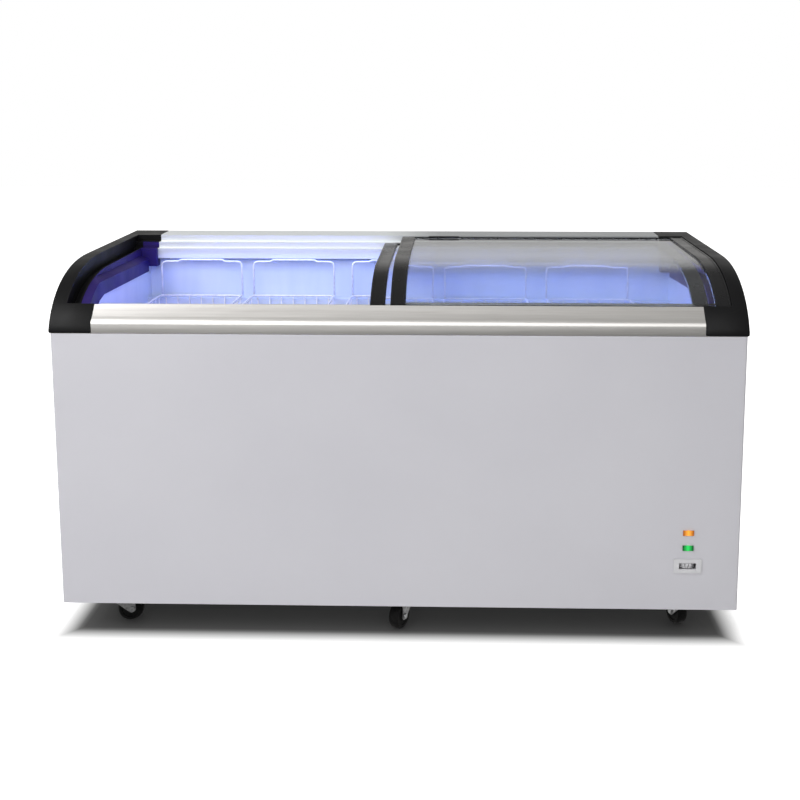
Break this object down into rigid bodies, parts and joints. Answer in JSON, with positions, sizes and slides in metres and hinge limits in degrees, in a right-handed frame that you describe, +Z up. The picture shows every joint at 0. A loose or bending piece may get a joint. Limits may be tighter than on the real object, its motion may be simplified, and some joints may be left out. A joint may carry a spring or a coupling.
{
  "type": "chest freezer",
  "caption": "Chest freezer with curved sliding glass lids, black end caps, aluminium rails, lit interior with wire baskets, on swivel casters.",
  "frame": {"origin": "on the floor under the middle of the freezer's outline", "axes": "+X to the right seen from the front and along the longest side, +Y to the back, +Z up"},
  "size_m": [1.54, 0.671, 0.865],
  "materials": {
    "painted_steel": "satin light grey paint",
    "galvanised": "dull zinc",
    "liner": "smooth white",
    "foam": "rigid closed-cell foam",
    "aluminium": "brushed, clear anodised",
    "black_plastic": "fine satin texture",
    "glass": "clear",
    "basket_wire": "white plastic-coated wire",
    "black_enamel": "semi-gloss enamel",
    "coil_tube": "black painted tube",
    "black_moulding": "satin",
    "white_plastic": "satin",
    "amber_lens": "lit amber lens",
    "green_lens": "lit green lens",
    "lamp_lens": "lit diffuser",
    "wheel_rubber": "matt black"
  },
  "bodies": {
    "cabinet": {"outer_wrapper": "painted_steel", "back_panel": "painted_steel", "base_tray": "galvanised", "inner_liner": "liner", "foam_insulation": "foam", "front_rail": "aluminium", "rear_rail": "aluminium", "left_end_cap": "black_plastic", "right_end_cap": "black_plastic", "led_lamp": "lamp_lens", "amber_indicator": "amber_lens", "green_indicator": "green_lens", "thermostat_housing": "white_plastic", "compressor": "black_enamel", "condenser_coil": "coil_tube", "fan_motor": "black_enamel", "rear_grille": "black_moulding", "cord_gland": "black_moulding", "caster_front_left_plate": "galvanised", "caster_front_middle_plate": "galvanised", "caster_front_right_plate": "galvanised", "caster_rear_left_plate": "galvanised", "caster_rear_middle_plate": "galvanised", "caster_rear_right_plate": "galvanised"},
    "upper_lid": {"upper_lid_glass": "glass", "upper_lid_left_stile": "black_plastic", "upper_lid_right_stile": "black_plastic", "upper_lid_front_trim": "black_plastic", "upper_lid_rear_trim": "black_plastic"},
    "lower_lid": {"lower_lid_glass": "glass", "lower_lid_left_stile": "black_plastic", "lower_lid_right_stile": "black_plastic", "lower_lid_front_trim": "black_plastic", "lower_lid_rear_trim": "black_plastic"},
    "basket_1": {"basket_1": "basket_wire"},
    "basket_2": {"basket_2": "basket_wire"},
    "basket_3": {"basket_3": "basket_wire"},
    "basket_4": {"basket_4": "basket_wire"},
    "basket_5": {"basket_5": "basket_wire"},
    "thermostat_dial": {"thermostat_dial": "white_plastic"},
    "fan": {"fan_blade": "black_moulding"},
    "caster_front_left_swivel": {"caster_front_left_fork": "galvanised", "caster_front_left_axle": "galvanised"},
    "caster_front_left_roller": {"caster_front_left_wheel": "wheel_rubber"},
    "caster_front_middle_swivel": {"caster_front_middle_fork": "galvanised", "caster_front_middle_axle": "galvanised"},
    "caster_front_middle_roller": {"caster_front_middle_wheel": "wheel_rubber"},
    "caster_front_right_swivel": {"caster_front_right_fork": "galvanised", "caster_front_right_axle": "galvanised"},
    "caster_front_right_roller": {"caster_front_right_wheel": "wheel_rubber"},
    "caster_rear_left_swivel": {"caster_rear_left_fork": "galvanised", "caster_rear_left_axle": "galvanised"},
    "caster_rear_left_roller": {"caster_rear_left_wheel": "wheel_rubber"},
    "caster_rear_middle_swivel": {"caster_rear_middle_fork": "galvanised", "caster_rear_middle_axle": "galvanised"},
    "caster_rear_middle_roller": {"caster_rear_middle_wheel": "wheel_rubber"},
    "caster_rear_right_swivel": {"caster_rear_right_fork": "galvanised", "caster_rear_right_axle": "galvanised"},
    "caster_rear_right_roller": {"caster_rear_right_wheel": "wheel_rubber"}
  },
  "joints": [
    {"name": "upper_lid_slide", "type": "slide", "parent": "cabinet", "child": "upper_lid", "axis": [1, 0, 0], "range_m": [-0.721, 0]},
    {"name": "lower_lid_slide", "type": "slide", "parent": "cabinet", "child": "lower_lid", "axis": [1, 0, 0], "range_m": [-0.6745, 0.0463]},
    {"name": "basket_1_lift", "type": "slide", "parent": "cabinet", "child": "basket_1", "axis": [0, 0, 1], "range_m": [0, 0.47]},
    {"name": "basket_2_lift", "type": "slide", "parent": "cabinet", "child": "basket_2", "axis": [0, 0, 1], "range_m": [0, 0.47]},
    {"name": "basket_3_lift", "type": "slide", "parent": "cabinet", "child": "basket_3", "axis": [0, 0, 1], "range_m": [0, 0.024]},
    {"name": "basket_4_lift", "type": "slide", "parent": "cabinet", "child": "basket_4", "axis": [0, 0, 1], "range_m": [0, 0.024]},
    {"name": "basket_5_lift", "type": "slide", "parent": "cabinet", "child": "basket_5", "axis": [0, 0, 1], "range_m": [0, 0.024]},
    {"name": "thermostat_turn", "type": "hinge", "parent": "cabinet", "child": "thermostat_dial", "pos_m": [0.6505, -0.3145, 0.1867], "axis": [0, 0, 1], "range_deg": [-270, 0]},
    {"name": "fan_spin", "type": "hinge", "parent": "cabinet", "child": "fan", "pos_m": [0.6, -0.1435, 0.205], "axis": [0, 1, 0], "continuous": true},
    {"name": "caster_front_left_swivel_turn", "type": "hinge", "parent": "cabinet", "child": "caster_front_left_swivel", "pos_m": [-0.66, -0.2445, 0.06], "axis": [0, 0, 1], "continuous": true},
    {"name": "caster_front_left_roll", "type": "hinge", "parent": "caster_front_left_swivel", "child": "caster_front_left_roller", "pos_m": [-0.63933, -0.23698, 0.02974], "axis": [-0.342, 0.9397, 0], "continuous": true},
    {"name": "caster_front_middle_swivel_turn", "type": "hinge", "parent": "cabinet", "child": "caster_front_middle_swivel", "pos_m": [0.01, -0.2445, 0.06], "axis": [0, 0, 1], "continuous": true},
    {"name": "caster_front_middle_roll", "type": "hinge", "parent": "caster_front_middle_swivel", "child": "caster_front_middle_roller", "pos_m": [0.00001, -0.2641, 0.02974], "axis": [0.891, -0.454, 0], "continuous": true},
    {"name": "caster_front_right_swivel_turn", "type": "hinge", "parent": "cabinet", "child": "caster_front_right_swivel", "pos_m": [0.66, -0.2445, 0.06], "axis": [0, 0, 1], "continuous": true},
    {"name": "caster_front_right_roll", "type": "hinge", "parent": "caster_front_right_swivel", "child": "caster_front_right_roller", "pos_m": [0.65248, -0.22383, 0.02974], "axis": [-0.9397, -0.342, 0], "continuous": true},
    {"name": "caster_rear_left_swivel_turn", "type": "hinge", "parent": "cabinet", "child": "caster_rear_left_swivel", "pos_m": [-0.66, 0.2445, 0.06], "axis": [0, 0, 1], "continuous": true},
    {"name": "caster_rear_left_roll", "type": "hinge", "parent": "caster_rear_left_swivel", "child": "caster_rear_left_roller", "pos_m": [-0.65431, 0.26575, 0.02974], "axis": [-0.9659, 0.2588, 0], "continuous": true},
    {"name": "caster_rear_middle_swivel_turn", "type": "hinge", "parent": "cabinet", "child": "caster_rear_middle_swivel", "pos_m": [0.01, 0.2445, 0.06], "axis": [0, 0, 1], "continuous": true},
    {"name": "caster_rear_middle_roll", "type": "hinge", "parent": "caster_rear_middle_swivel", "child": "caster_rear_middle_roller", "pos_m": [-0.00685, 0.25864, 0.02974], "axis": [-0.6428, -0.766, 0], "continuous": true},
    {"name": "caster_rear_right_swivel_turn", "type": "hinge", "parent": "cabinet", "child": "caster_rear_right_swivel", "pos_m": [0.66, 0.2445, 0.06], "axis": [0, 0, 1], "continuous": true},
    {"name": "caster_rear_right_roll", "type": "hinge", "parent": "caster_rear_right_swivel", "child": "caster_rear_right_roller", "pos_m": [0.67802, 0.25712, 0.02974], "axis": [-0.5736, 0.8192, 0], "continuous": true}
  ]
}
